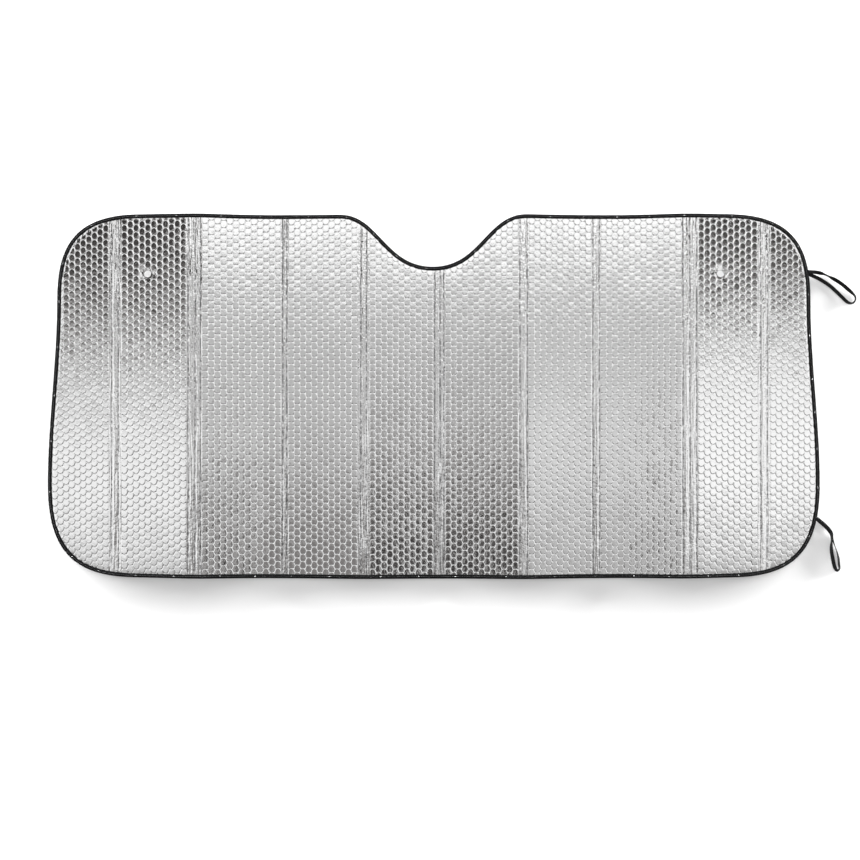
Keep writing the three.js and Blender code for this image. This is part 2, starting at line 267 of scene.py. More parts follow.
class Graph:
    """Short calls that add nodes to a material's or the world's node tree."""

    def __init__(self, tree):
        self.tree = tree
        tree.nodes.clear()

    def add(self, kind, inputs=None, **settings):
        node = self.tree.nodes.new(kind)
        for name, value in settings.items():
            setattr(node, name, value)
        for socket, value in (inputs or {}).items():
            self.put(node.inputs[socket], value)
        return node

    def put(self, socket, value):
        if isinstance(value, bpy.types.NodeSocket):
            self.tree.links.new(value, socket)
        else:
            socket.default_value = value

    def math(self, operation, *values, clamp=False):
        node = self.add("ShaderNodeMath", operation=operation, use_clamp=clamp)
        for socket, value in zip(node.inputs, values):
            self.put(socket, value)
        return node.outputs[0]

    def step(self, value, low, high):
        """0 below low and 1 above high, smooth between them."""
        node = self.add("ShaderNodeMapRange", interpolation_type="SMOOTHSTEP")
        for name, given in (("Value", value), ("From Min", low), ("From Max", high)):
            self.put(node.inputs[name], given)
        return node.outputs[0]

    def curve(self, value, stops):
        """Value read off a line through stops, each a place and a level."""
        low, high = stops[0][0], stops[-1][0]
        place = self.add("ShaderNodeMapRange")
        for name, given in (("Value", value), ("From Min", low), ("From Max", high)):
            self.put(place.inputs[name], given)
        ramp = self.add("ShaderNodeValToRGB", {"Fac": place.outputs[0]})
        points = ramp.color_ramp.elements
        for number, (at, level) in enumerate(stops):
            if number in (0, len(stops) - 1):
                point = points[0 if number == 0 else -1]
            else:
                point = points.new((at - low) / (high - low))
            point.color = (level, level, level, 1)
        return ramp.outputs[0]

    def mix(self, share, first, second):
        node = self.add("ShaderNodeMix", data_type="FLOAT")
        for name, given in (("Factor", share), ("A", first), ("B", second)):
            self.put(node.inputs[name], given)
        return node.outputs[0]

    def blend(self, share, first, second):
        node = self.add("ShaderNodeMix", data_type="RGBA")
        for number, given in ((0, share), (6, first), (7, second)):
            self.put(node.inputs[number], given)
        return node.outputs[2]

    def place(self):
        return self.add("ShaderNodeTexCoord").outputs["Object"]

    def axes(self, place):
        return self.add("ShaderNodeSeparateXYZ", {0: place}).outputs

    def cloud(self, place, scale, **inputs):
        """Smooth noise from 0 to 1 at a place."""
        inputs = {"Vector": place, "Scale": scale, **inputs}
        return self.add("ShaderNodeTexNoise", inputs).outputs[0]

    def bump(self, height, depth, **inputs):
        """Normal of a surface that stands up by a height times a depth."""
        inputs = {"Height": height, "Distance": depth, **inputs}
        return self.add("ShaderNodeBump", inputs).outputs[0]


# Colours and surfaces: noise scales per metre, and depths and pitches in metres
FOIL_SHADES = ((0.87, 0.87, 0.87, 1), (0.95, 0.95, 0.95, 1))
FOIL_CLOUDS = 14
FINE_WRINKLES, FINE_SHARE = 620, 0.3
WIDE_WRINKLES = 190
WRINKLE_DEPTH, WRINKLE_STRENGTH = 0.001, 0.27
RIM_START, RIM_DROP = 0.9, -0.0125
PLEATS, PLEAT_STRETCH = 330, (1.0, 0.06, 1.0)
CRUSH, CRUSH_SHARE, CRUSH_DEPTH = 230, 0.45, 0.0014
# Painted shadow: a dark grey blended into the foil along the pressed creases, broken up by noise
CREASE_SHADOW_COLOUR = (0.24, 0.24, 0.245, 1)
CREASE_SHADOW_BREAKS = 160
CREASE_SHADOW_ON_CREASE, CREASE_SHADOW_ON_BREAKS = (0.35, 0.95), (0.3, 0.62)
TAPE_SHADES = ((0.0015, 0.0015, 0.0017, 1), (0.006, 0.006, 0.0063, 1))
TAPE_RIB_PITCH, TAPE_THREAD_PITCH, TAPE_WEAVE_DEPTH = 0.0007, 0.0009, 0.00012
TAPE_LINT = 260
# Painted shade of the braid: the colour in its grooves, and on its raised threads
BRAID_PAINTED_SHADES = ((0.0015, 0.0015, 0.0017, 1), (0.007, 0.007, 0.0073, 1))
BRAID_PITCH, BRAID_SLANT_PITCH, BRAID_DEPTH = 0.0006, 0.0010, 0.0001
THREAD_TWIST, THREAD_TWIST_DEPTH = 2500, 0.00008
# Thread colours: black, and pale grey for the painted glints
BLACK_THREAD, GLINT_THREAD = (0.02, 0.02, 0.021), (0.45, 0.45, 0.46)


def new_material(name):
    material = bpy.data.materials.new(name)
    material.use_nodes = True
    return material, Graph(material.node_tree)


def finish_material(graph, **values):
    shader = graph.add("ShaderNodeBsdfPrincipled")
    for name, value in values.items():
        graph.put(shader.inputs[name.replace("_", " ")], value)
    graph.add("ShaderNodeOutputMaterial", {0: shader.outputs[0]})


def rounded_rim(graph):
    """Bump that rounds the edge of each bubble's flat top, where the rim value comes up to 1."""
    rim = graph.add("ShaderNodeAttribute", attribute_name="rim").outputs["Fac"]
    past = graph.math("SUBTRACT", graph.math("MINIMUM", rim, 1.0), RIM_START)
    drop = graph.math("POWER", graph.math("MAXIMUM", past, 0.0), 2.0)
    return graph.bump(graph.math("MULTIPLY", drop, RIM_DROP), 1.0)


def foil_colour(graph, place):
    return graph.blend(graph.cloud(place, FOIL_CLOUDS, Detail=3), *FOIL_SHADES)


def foil_material():
    """Bright metallised film, wrinkled a little over the bubbles."""
    material, graph = new_material("silver foil")
    place = graph.place()
    fine = graph.cloud(place, FINE_WRINKLES, Detail=3)
    wide = graph.cloud(place, WIDE_WRINKLES, Detail=2)
    height = graph.math("ADD", graph.math("MULTIPLY", fine, FINE_SHARE), wide)
    rim = rounded_rim(graph)
    bump = graph.bump(height, WRINKLE_DEPTH, Strength=WRINKLE_STRENGTH, Normal=rim)
    colour = foil_colour(graph, place)
    finish_material(graph, Base_Color=colour, Metallic=1.0, Roughness=0.065, Normal=bump)
    return material


def creased_foil_material():
    """The same film where it is crushed along the fold bands, with painted shadow along its
    creases.
    """
    material, graph = new_material("creased silver foil")
    place = graph.place()
    stretched = graph.add(
        "ShaderNodeVectorMath", {0: place, 1: PLEAT_STRETCH}, operation="MULTIPLY"
    ).outputs[0]
    pleats = graph.cloud(stretched, PLEATS, Detail=1)
    crush = graph.cloud(place, CRUSH, Detail=1)
    height = graph.math("ADD", pleats, graph.math("MULTIPLY", crush, CRUSH_SHARE))
    bump = graph.bump(height, CRUSH_DEPTH, Strength=1.0)
    # Painted shadow: the foil's colour turns dark grey along each pressed crease, in broken lines
    crease = graph.add("ShaderNodeAttribute", attribute_name="crease").outputs["Fac"]
    on_crease = graph.step(crease, *CREASE_SHADOW_ON_CREASE)
    on_breaks = graph.step(graph.cloud(place, CREASE_SHADOW_BREAKS), *CREASE_SHADOW_ON_BREAKS)
    crease_shadow = graph.math("MULTIPLY", on_crease, on_breaks)
    colour = graph.blend(crease_shadow, foil_colour(graph, place), CREASE_SHADOW_COLOUR)
    finish_material(graph, Base_Color=colour, Metallic=1.0, Roughness=0.09, Normal=bump)
    return material


def tape_material():
    """Woven tape: fine ribs across it, and a twill slant. UV is the place along and across it."""
    material, graph = new_material("black binding tape")
    axes = graph.axes(graph.add("ShaderNodeUVMap").outputs[0])
    along = graph.math("MULTIPLY", axes[0], 2 * math.pi / TAPE_RIB_PITCH)
    across = graph.math("MULTIPLY", axes[1], 2 * math.pi / TAPE_THREAD_PITCH)
    ribs = graph.math("SINE", along)
    threads = graph.math("SINE", graph.math("ADD", across, graph.math("MULTIPLY", along, 0.5)))
    weave = graph.math("MULTIPLY", ribs, threads)
    colour = graph.blend(graph.cloud(graph.place(), TAPE_LINT, Detail=4), *TAPE_SHADES)
    bump = graph.bump(weave, TAPE_WEAVE_DEPTH, Strength=0.5)
    finish_material(
        graph, Base_Color=colour, Roughness=0.5, Normal=bump, Specular_IOR_Level=0.12
    )
    return material


def elastic_material():
    """Braided elastic: its threads slant out from the middle of the band, over its ribs, with
    painted shade darker in its grooves.
    """
    material, graph = new_material("black elastic")
    axes = graph.axes(graph.add("ShaderNodeUVMap").outputs[0])
    along = graph.math("MULTIPLY", axes[0], 2 * math.pi / BRAID_PITCH)
    across = graph.math("MULTIPLY", axes[1], 2 * math.pi / BRAID_SLANT_PITCH)
    slant = graph.math("ABSOLUTE", across)
    weave = graph.math("SINE", graph.math("ADD", along, slant))
    bump = graph.bump(weave, BRAID_DEPTH, Strength=0.6)
    # Painted shade: the band is darker where the weave's bump is low and lighter where it stands up
    shade = graph.math("MULTIPLY_ADD", weave, 0.5, 0.5)
    colour = graph.blend(shade, *BRAID_PAINTED_SHADES)
    finish_material(
        graph,
        Base_Color=colour,
        Roughness=0.62,
        Normal=bump,
        Specular_IOR_Level=0.2,
        Sheen_Weight=0.03,
        Sheen_Roughness=0.4,
    )
    return material


def thread_material(name, colour):
    material, graph = new_material(name)
    twist = graph.cloud(graph.place(), THREAD_TWIST, Detail=1)
    bump = graph.bump(twist, THREAD_TWIST_DEPTH)
    finish_material(
        graph, Base_Color=(*colour, 1), Roughness=0.45, Normal=bump, Sheen_Weight=0.2
    )
    return material


def bezier(start, first, second, end, steps):
    t = np.linspace(0, 1, steps + 1)[1:, None]
    points = [np.array(p) for p in (start, first, second, end)]
    weights = [(1 - t) ** 3, 3 * t * (1 - t) ** 2, 3 * t * t * (1 - t), t**3]
    return sum(weight * point for weight, point in zip(weights, points))


def outline():
    """Outer edge of the bound sheet, anticlockwise from above, as an array of points."""
    top, bottom = SHEET_HEIGHT / 2, LOWER_BOW - SHEET_HEIGHT / 2
    widest, shoulder = SHEET_WIDTH / 2, SHOULDER_WIDTH / 2
    low, low_end = LOWER_CORNER["start"], LOWER_CORNER["end"]
    high, high_end = UPPER_CORNER["start"], UPPER_CORNER["end"]
    low_along, low_down = low + LOWER_CORNER["along"], low_end - LOWER_CORNER["down"]
    high_along, high_down = high + UPPER_CORNER["along"], high_end + UPPER_CORNER["down"]
    bow = bottom - LOWER_BOW * 4 / 3
    floor = top - NOTCH_DEPTH
    right, left = NOTCH_CENTRE + NOTCH_HALF_WIDTH, NOTCH_CENTRE - NOTCH_HALF_WIDTH
    runs = [
        [(-low, bottom), (-low / 2, bow), (low / 2, bow), (low, bottom)],
        [(low, bottom), (low_along, bottom), (widest, low_down), (widest, low_end)],
        [
            (widest, low_end),
            (widest, low_end + SIDE_REACH),
            (shoulder, high_end - SIDE_REACH),
            (shoulder, high_end),
        ],
        [(shoulder, high_end), (shoulder, high_down), (high_along, top), (high, top)],
        [(high, top), (high, top), (right, top), (right, top)],
        [
            (right, top),
            (right - NOTCH_SHOULDER_REACH, top),
            (NOTCH_CENTRE + NOTCH_FLOOR_REACH, floor),
            (NOTCH_CENTRE, floor),
        ],
        [
            (NOTCH_CENTRE, floor),
            (NOTCH_CENTRE - NOTCH_FLOOR_REACH, floor),
            (left + NOTCH_SHOULDER_REACH, top),
            (left, top),
        ],
        [(left, top), (left, top), (-high, top), (-high, top)],
        [(-high, top), (-high_along, top), (-shoulder, high_down), (-shoulder, high_end)],
        [
            (-shoulder, high_end),
            (-shoulder, high_end - SIDE_REACH),
            (-widest, low_end + SIDE_REACH),
            (-widest, low_end),
        ],
        [(-widest, low_end), (-widest, low_down), (-low_along, bottom), (-low, bottom)],
    ]
    return np.concatenate([bezier(*run, steps=OUTLINE_STEPS) for run in runs])


EDGE = outline()


def edge_distance(points, at_once=4000):
    """How far inside the outline each point is, its nearest place on it, and the way inwards."""
    starts, ends = EDGE, np.roll(EDGE, -1, axis=0)
    runs = ends - starts
    lengths = (runs**2).sum(axis=1)
    inwards = np.stack([-runs[:, 1], runs[:, 0]], axis=1) / np.sqrt(lengths)[:, None]
    depths, feet, ways = [], [], []
    for chunk in np.array_split(points, max(1, len(points) // at_once)):
        gap = chunk[:, None] - starts[None]
        share = np.clip((gap * runs).sum(axis=2) / lengths, 0, 1)
        foot = starts + share[..., None] * runs
        away = chunk[:, None] - foot
        nearest = (away**2).sum(axis=2).argmin(axis=1)
        rows = np.arange(len(chunk))
        foot, away, way = foot[rows, nearest], away[rows, nearest], inwards[nearest]
        side = np.where((away * way).sum(axis=1) >= 0, 1, -1)
        depths.append(side * np.sqrt((away**2).sum(axis=1)))
        feet.append(foot)
        ways.append(way)
    return np.concatenate(depths), np.concatenate(feet), np.concatenate(ways)


def level_stretches():
    """Crests and the stretches that lie on the floor, from left to right: ends and rise."""
    crests = [(x - width / 2, x + width / 2, rise) for x, width, _, rise in FOLDS if rise]
    half = SHEET_WIDTH / 2 + PAST_END
    flats = [(-half, END_FLAT - SHEET_WIDTH / 2, 0.0), (SHEET_WIDTH / 2 - END_FLAT, half, 0.0)]
    for before, after in zip(crests, crests[1:]):
        middle, reach = (before[1] + after[0]) / 2, FLAT_SHARE * (after[0] - before[1]) / 2
        flats.append((middle - reach, middle + reach, 0.0))
    return sorted(crests + flats)


def height_profile():
    """Places across the sheet, and the height of the middle of the laminate there."""
    levels = level_stretches()
    places, heights = [], []
    for before, after in zip(levels, levels[1:]):
        rise = max(before[2], after[2])
        share = np.linspace(0, 1, SAG_STEPS)
        fall = (1 - share if before[2] > after[2] else share) ** SAG_POWER
        places += [before[0], *(before[1] + share * (after[0] - before[1]))]
        heights += [HALF_THICKNESS + before[2], *(HALF_THICKNESS + rise * fall)]
    places.append(levels[-1][1])
    heights.append(HALF_THICKNESS)
    return places, heights


PROFILE = height_profile()


def middle_height(x):
    return np.interp(x, *PROFILE)


def slow_wave(x, y):
    """Gentle unevenness of the lying sheet, never below zero."""
    height = WAVE_MEAN
    for wave, layer in ((WIDE_WAVE, WIDE_LAYER), (NARROW_WAVE, NARROW_LAYER)):
        place = Vector((x * wave["across"], y * wave["up"], layer))
        height += wave["height"] * noise.noise(place)
    return height


def new_object(name, places, faces, material):
    mesh = bpy.data.meshes.new(name)
    mesh.from_pydata([tuple(p) for p in places], [], faces)
    mesh.polygons.foreach_set("use_smooth", [True] * len(mesh.polygons))
    mesh.materials.append(material)
    mesh.update()
    obj = bpy.data.objects.new(name, mesh)
    bpy.context.collection.objects.link(obj)
    return obj


def zip_loops(outer, inner, places, centre):
    """Triangles between two closed loops of points round a centre, both anticlockwise."""

    def turned(loop):
        def angle(i):
            return math.atan2(places[i][1] - centre[1], places[i][0] - centre[0])

        first = min(range(len(loop)), key=lambda k: angle(loop[k]))
        loop = loop[first:] + loop[:first]
        angles = [angle(i) for i in loop]
        return loop + loop[:1], angles + [angles[0] + 2 * math.pi]

    (outer, outer_angles), (inner, inner_angles) = turned(outer), turned(inner)
    faces, i, j = [], 0, 0
    while i < len(outer) - 1 or j < len(inner) - 1:
        next_outer = outer_angles[i + 1] if i < len(outer) - 1 else math.inf
        next_inner = inner_angles[j + 1] if j < len(inner) - 1 else math.inf
        if next_outer <= next_inner:
            faces.append((outer[i], outer[i + 1], inner[j]))
            i += 1
        else:
            faces.append((outer[i], inner[j + 1], inner[j]))
            j += 1
    return faces


def cell_reach(cell, cosine, sine):
    """Distance from the middle of a convex cell to its edge, one way."""
    reach = math.inf
    for (ax, ay), (bx, by) in zip(cell, cell[1:] + cell[:1]):
        out_x, out_y = by - ay, ax - bx
        towards = out_x * cosine + out_y * sine
        if towards > 0:
            reach = min(reach, (out_x * ax + out_y * ay) / towards)
    return reach


CORNER, CROWN, CROWN_MIDDLE, BAND, CREASE, PATCH = range(6)


class FoilFace:
    """One face of the bubble foil, as points with a height above the laminate's middle."""

    half_row = ROW_PITCH / 2
    rows = range(-LAST_ROW, LAST_ROW + 1)

    def __init__(self, side, seed):
        self.side = side
        self.chance = random.Random(seed)
        self.places = []
        self.kinds = []
        self.faces = []
        self.patch_rims = set()

    def point(self, x, y, height, kind):
        self.places.append((x, y, height))
        self.kinds.append(kind)
        return len(self.places) - 1

    def boundary(self, x, number, straight):
        """Line of bubble corners up the sheet, in a zigzag or straight beside a fold band."""
        line = {}
        for row in self.rows:
            shift = 0 if straight else COLUMN_OFFSET * (1 if (row - number) % 2 else -1)
            jitter = 0 if straight else self.chance.gauss(0, CORNER_STRAY)
            height = CORE_HALF + CORNER_LIFT
            height += self.chance.uniform(-CORNER_UNEVEN, CORNER_UNEVEN)
            line[row] = self.point(x + shift + jitter, row * self.half_row, height, CORNER)
        return line

    def bubble(self, left, right, row):
        """Plateau and walls of one bubble between two boundary lines."""
        corners = [left[row - 1], right[row - 1], right[row]]
        corners += [right[row + 1], left[row + 1], left[row]]
        x = sum(self.places[i][0] for i in corners) / 6
        y = row * self.half_row
        uneven = 1 if self.side > 0 else BACK_UNEVEN
        tilt_x, tilt_y = (uneven * self.chance.gauss(0, CROWN_TILT) for _ in range(2))
        lift = uneven * self.chance.uniform(-CROWN_SUNK, 0.0)
        dome = uneven * self.chance.uniform(*CROWN_DOME)
        cell = [(self.places[i][0] - x, self.places[i][1] - y) for i in corners]
        ring = []
        for k in range(CROWN_SIDES):
            angle = 2 * math.pi * (k + 0.5) / CROWN_SIDES
            cosine, sine = math.cos(angle), math.sin(angle)
            oval = 1 / math.hypot(cosine / CROWN_REACH[0], sine / CROWN_REACH[1])
            reach = min(CROWN_SHARE * cell_reach(cell, cosine, sine), oval)
            reach += self.chance.gauss(0, CROWN_STRAY)
            dx, dy = reach * cosine, reach * sine
            height = HALF_THICKNESS + lift + tilt_x * dx + tilt_y * dy
            ring.append(self.point(x + dx, y + dy, height, CROWN))
        top = self.point(x, y, HALF_THICKNESS + lift + dome, CROWN_MIDDLE)
        self.faces += zip_loops(corners, ring, self.places, (x, y))
        self.faces += [(ring[k - 1], ring[k], top) for k in range(CROWN_SIDES)]

    def panel(self, left_x, right_x, left_band, right_band):
        """Columns of bubbles between two fold bands, or a fold band and the sheet's end."""
        count = round((right_x - left_x) / COLUMN_PITCH)
        lines = []
        for number in range(count + 1):
            x = left_x + (right_x - left_x) * number / count
            straight = (number == 0 and left_band) or (number == count and right_band)
            lines.append(self.boundary(x, number, straight))
        for number in range(count):
            for row in self.rows[1:-1]:
                if (row - number) % 2 == 0:
                    self.bubble(lines[number], lines[number + 1], row)
        return lines[0], lines[-1]

    def fold_band(self, left, right, fold):
        """Crumpled foil between two panels, with pressed creases running up it."""
        middle, width, creases, _ = fold
        count = round(width / BAND_COLUMN)
        creased = {round(share * count) for share in CREASE_SHARES[creases]}
        columns = []
        for number in range(1, count):
            x = middle - width / 2 + width * number / count
            kind = CREASE if number in creased else BAND
            drift = self.chance.uniform(0, 99)
            ridge = self.chance.uniform(-BAND_RIDGE, BAND_RIDGE)
            column = []
            for half in range(2 * self.rows[0], 2 * self.rows[-1] + 1):
                y = half * self.half_row / 2
                slow = noise.noise(Vector((drift, y * SWELL_RATE, SWELL_LAYER)))
                sway = BAND_SWAY * noise.noise(Vector((drift, y * SWAY_RATE, SWAY_LAYER)))
                if kind == CREASE:
                    height = CORE_HALF + PRESSED_LIFT + CREASE_SWELL * slow
                else:
                    pressed = math.cos(math.pi * half / 2 + drift)
                    height = CORE_HALF + BAND_LIFT + ridge
                    height += BAND_SWELL * slow
                    height += BAND_PRESSED * pressed
                    height += self.chance.uniform(-BAND_CRUSH, BAND_CRUSH)
                column.append(self.point(x + sway, y, height, kind))
            columns.append(column)
        self.sew(left, columns[0], False)
        self.sew(right, columns[-1], True)
        for before, after in zip(columns, columns[1:]):
            for k in range(len(before) - 1):
                if self.chance.random() < 0.5:
                    self.faces.append((before[k], after[k], after[k + 1]))
                    self.faces.append((before[k], after[k + 1], before[k + 1]))
                else:
                    self.faces.append((before[k], after[k], before[k + 1]))
                    self.faces.append((after[k], after[k + 1], before[k + 1]))

    def sew(self, line, column, line_on_right):
        """Joins a line of bubble corners to a column of points twice as close."""
        for number, row in enumerate(self.rows[:-1]):
            low, high = line[row], line[row + 1]
            a, b, c = column[2 * number : 2 * number + 3]
            made = [(low, a, b), (low, b, high), (high, b, c)]
            self.faces += [face[::-1] for face in made] if line_on_right else made

    def open_hole(self, centre):
        """Swaps the bubbles round a hole for a round pressed patch with the hole in it."""
        centre_x, centre_y = centre
        near = [
            math.hypot(x - centre_x, y - centre_y) < CUP_PATCH_RADIUS + CUP_CLEARANCE
            for x, y, _ in self.places
        ]
        dropped = [face for face in self.faces if any(near[i] for i in face)]
        self.faces = [face for face in self.faces if not any(near[i] for i in face)]
        edges = {(f[k], f[(k + 1) % 3]) for f in dropped for k in range(3)}
        following = {a: b for a, b in edges if (b, a) not in edges}
        first = next(iter(following))
        rim = [first]
        while following[rim[-1]] != first:
            rim.append(following[rim[-1]])
        self.patch_rims |= {frozenset(pair) for pair in zip(rim, rim[1:] + rim[:1])}
        for i in rim:
            x, y, height = self.places[i]
            self.places[i] = (x, y, min(height, CORE_HALF + CUP_RIM_LIFT))
        loops = []
        for radius, lift in CUP_RINGS:
            loop = []
            for k in range(CUP_SIDES):
                angle = 2 * math.pi * k / CUP_SIDES
                x = centre_x + radius * math.cos(angle)
                y = centre_y + radius * math.sin(angle)
                loop.append(self.point(x, y, CORE_HALF + lift, PATCH))
            loops.append(loop)
        self.faces += zip_loops(rim, loops[0], self.places, centre)
        for outer, inner in zip(loops, loops[1:]):
            for k in range(CUP_SIDES):
                self.faces.append((outer[k - 1], outer[k], inner[k]))
                self.faces.append((outer[k - 1], inner[k], inner[k - 1]))

    def build(self, name, materials):
        bands = [(x - width / 2, x + width / 2) for x, width, _, _ in FOLDS]
        ends = [-SHEET_WIDTH / 2 - COLUMN_OVERHANG, *[x for band in bands for x in band]]
        ends.append(SHEET_WIDTH / 2 + COLUMN_OVERHANG)
        sides = []
        for number in range(0, len(ends), 2):
            left_band, right_band = number > 0, number < len(ends) - 2
            sides.append(self.panel(ends[number], ends[number + 1], left_band, right_band))
        for fold, before, after in zip(FOLDS, sides, sides[1:]):
            self.fold_band(before[1], after[0], fold)
        for centre in CUP_HOLES:
            self.open_hole(centre)
        return self.settled(name, materials)

    def settled(self, name, materials):
        """The face as an object, cut to the outline and pressed flat under the tape."""
        flat = np.array(self.places)
        depth, foot, way = edge_distance(flat[:, :2])
        outside = depth < FOIL_EDGE_INSET
        flat[outside, :2] = foot[outside] + way[outside] * FOIL_EDGE_INSET
        raised = smoothstep(*FOIL_RISE, depth)
        local = CORE_HALF + PRESSED_LIFT + (flat[:, 2] - CORE_HALF - PRESSED_LIFT) * raised
        local = np.where(np.array(self.kinds) == PATCH, flat[:, 2], local)
        wave = np.array([slow_wave(x, y) for x, y, _ in self.places])
        wave *= smoothstep(BINDING_WIDTH, WAVE_FULL, depth)
        z = middle_height(flat[:, 0]) + wave + self.side * local
        flat[:, 2] = np.maximum(z, FLOOR_GAP)
        faces = [face for face in self.faces if not all(outside[i] for i in face)]
        if self.side < 0:
            faces = [face[::-1] for face in faces]
        used = sorted({i for face in faces for i in face})
        number = {old: new for new, old in enumerate(used)}
        creased = [any(self.kinds[i] in (BAND, CREASE) for i in face) for face in faces]
        faces = [tuple(number[i] for i in face) for face in faces]
        obj = new_object(name, flat[used], faces, materials[0])
        obj.data.materials.append(materials[1])
        obj.data.polygons.foreach_set("material_index", creased)
        kinds = np.array(self.kinds)[used]
        rim = obj.data.attributes.new("rim", "FLOAT", "POINT")
        rim.data.foreach_set("value", np.select([kinds == CROWN_MIDDLE, kinds == CROWN], [0, 1], 2))
        crease = obj.data.attributes.new("crease", "FLOAT", "POINT")
        crease.data.foreach_set("value", (kinds == CREASE).astype(float))
        ends = np.empty(2 * len(obj.data.edges), dtype=np.int32)
        obj.data.edges.foreach_get("vertices", ends)
        ends = ends.reshape(-1, 2)
        same = kinds[ends[:, 0]] == kinds[ends[:, 1]]
        same &= np.isin(kinds[ends[:, 0]], (CORNER, CROWN, CREASE))
        rims = {frozenset(number[i] for i in pair) for pair in self.patch_rims}
        same |= [frozenset(pair) in rims for pair in ends.tolist()]
        sharp = obj.data.attributes.new("sharp_edge", "BOOLEAN", "EDGE")
        sharp.data.foreach_set("value", same)
        return obj


def along_edge(spacing):
    """Places evenly spaced along the outline, and the way inwards at each."""
    closed = np.vstack([EDGE, EDGE[:1]])
    steps = np.linalg.norm(np.diff(closed, axis=0), axis=1)
    reached = np.concatenate([[0], np.cumsum(steps)])
    total = reached[-1]
    count = round(total / spacing)
    at = np.arange(count) * total / count
    places = np.stack([np.interp(at, reached, closed[:, k]) for k in range(2)], axis=1)
    ways = np.roll(places, -1, axis=0) - np.roll(places, 1, axis=0)
    ways /= np.linalg.norm(ways, axis=1)[:, None]
    return places, np.stack([-ways[:, 1], ways[:, 0]], axis=1)


def binding(material):
    """Tape folded over the sheet's edge, as one section swept round the whole outline."""
    lower = [(inset, -height) for inset, height in reversed(BINDING_SECTION)]
    section = BINDING_SECTION + [(0.0, 0.0)] + lower + BINDING_SLOT
    spots, ways = along_edge(BINDING_SPACING)
    places, faces, uvs = [], [], []
    count, size = len(spots), len(section)
    steps = [math.dist(a, b) for a, b in zip(section, section[1:])]
    across = np.cumsum([0, *steps, BINDING_CLOSING])
    for k, (spot, way) in enumerate(zip(spots, ways)):
        rate = BINDING_SWAY["rate"]
        sway = noise.noise(Vector((spot[0] * rate, spot[1] * rate, TAPE_LAYER)))
        for inset, height in section:
            past = max(0, inset - BINDING_SWAY["start"])
            inset += BINDING_SWAY["most"] * sway * past / BINDING_SWAY["reach"]
            x, y = spot + way * inset
            base = middle_height(spot[0] + way[0] * min(inset, BINDING_LEVEL))
            places.append((x, y, max(base + height, FLOOR_GAP)))
    for k in range(count):
        for i in range(size):
            j, after = (i + 1) % size, (k + 1) % count
            faces.append((k * size + i, k * size + j, after * size + j, after * size + i))
            low, high = across[i], across[i + 1]
            near, far = k * BINDING_SPACING, (k + 1) * BINDING_SPACING
            uvs += [near, low, near, high, far, high, far, low]
    obj = new_object("edge_binding_tape", places, faces, material)
    obj.data.uv_layers.new(name="along and across").data.foreach_set("uv", uvs)
    return obj


def stitches(dark, light):
    """Lockstitch through the tape: one short thread after another, on both faces, with a painted
    glint on one front stitch every 13 to 21 stitches.
    """
    chance = random.Random(STITCH_SEED)
    spots, ways = along_edge(STITCH_PITCH)
    sides = STITCH_SIDES
    places, faces, pale = [], [], []
    until_glint = FIRST_GLINT_STITCH
    for spot, way in zip(spots, ways):
        # Painted glint: a pale grey stitch on the front face, after a random gap
        until_glint -= 1
        is_glint = until_glint == 0
        if is_glint:
            until_glint = chance.randint(*GLINT_STITCH_GAPS)
        run = np.array([way[1], -way[0]])
        for face in (1, -1):
            first = len(places)
            inset = STITCH_INSET + chance.gauss(0, STITCH_STRAY)
            slant = chance.gauss(0, STITCH_SLANT)
            for share, lift in STITCH_STATIONS:
                shift = share * STITCH_LENGTH
                centre = spot + way * (inset + slant * shift) + run * shift
                base = middle_height(centre[0])
                height = STITCH_HEIGHT + lift
                for k in range(sides):
                    angle = 2 * math.pi * k / sides
                    aside = way * THREAD_RADIUS * math.cos(angle)
                    up = THREAD_RADIUS * math.sin(angle)
                    x, y = centre + aside
                    places.append((x, y, max(base + face * (height + up), FLOOR_GAP)))
            for station in range(len(STITCH_STATIONS) - 1):
                start = first + station * sides
                for k in range(sides):
                    a, b = start + k, start + (k + 1) % sides
                    quad = (a, b, b + sides, a + sides)
                    faces.append(quad if face < 0 else quad[::-1])
                    # pale marks the faces that carry a painted glint
                    pale.append(1 if is_glint and face > 0 else 0)
    obj = new_object("binding_stitches", places, faces, dark)
    obj.data.materials.append(light)
    obj.data.polygons.foreach_set("material_index", pale)
    return obj


def smooth_route(points, steps):
    """Centripetal curve through the points, evenly divided between each two of them."""
    points = [np.array(p, dtype=float) for p in points]
    points = [2 * points[0] - points[1], *points, 2 * points[-1] - points[-2]]
    route = []
    for a, b, c, d in zip(points, points[1:], points[2:], points[3:]):
        gaps = [math.dist(p[:3], q[:3]) ** 0.5 for p, q in ((a, b), (b, c), (c, d))]
        t0, t1, t2, t3 = np.cumsum([0, *gaps])
        for t in np.linspace(t1, t2, steps, endpoint=False):
            ab = a + (b - a) * (t - t0) / (t1 - t0)
            bc = b + (c - b) * (t - t1) / (t2 - t1)
            cd = c + (d - c) * (t - t2) / (t3 - t2)
            abc = ab + (bc - ab) * (t - t0) / (t2 - t0)
            bcd = bc + (cd - bc) * (t - t1) / (t3 - t1)
            route.append(abc + (bcd - abc) * (t - t1) / (t2 - t1))
    route.append(points[-2])
    return np.array(route)


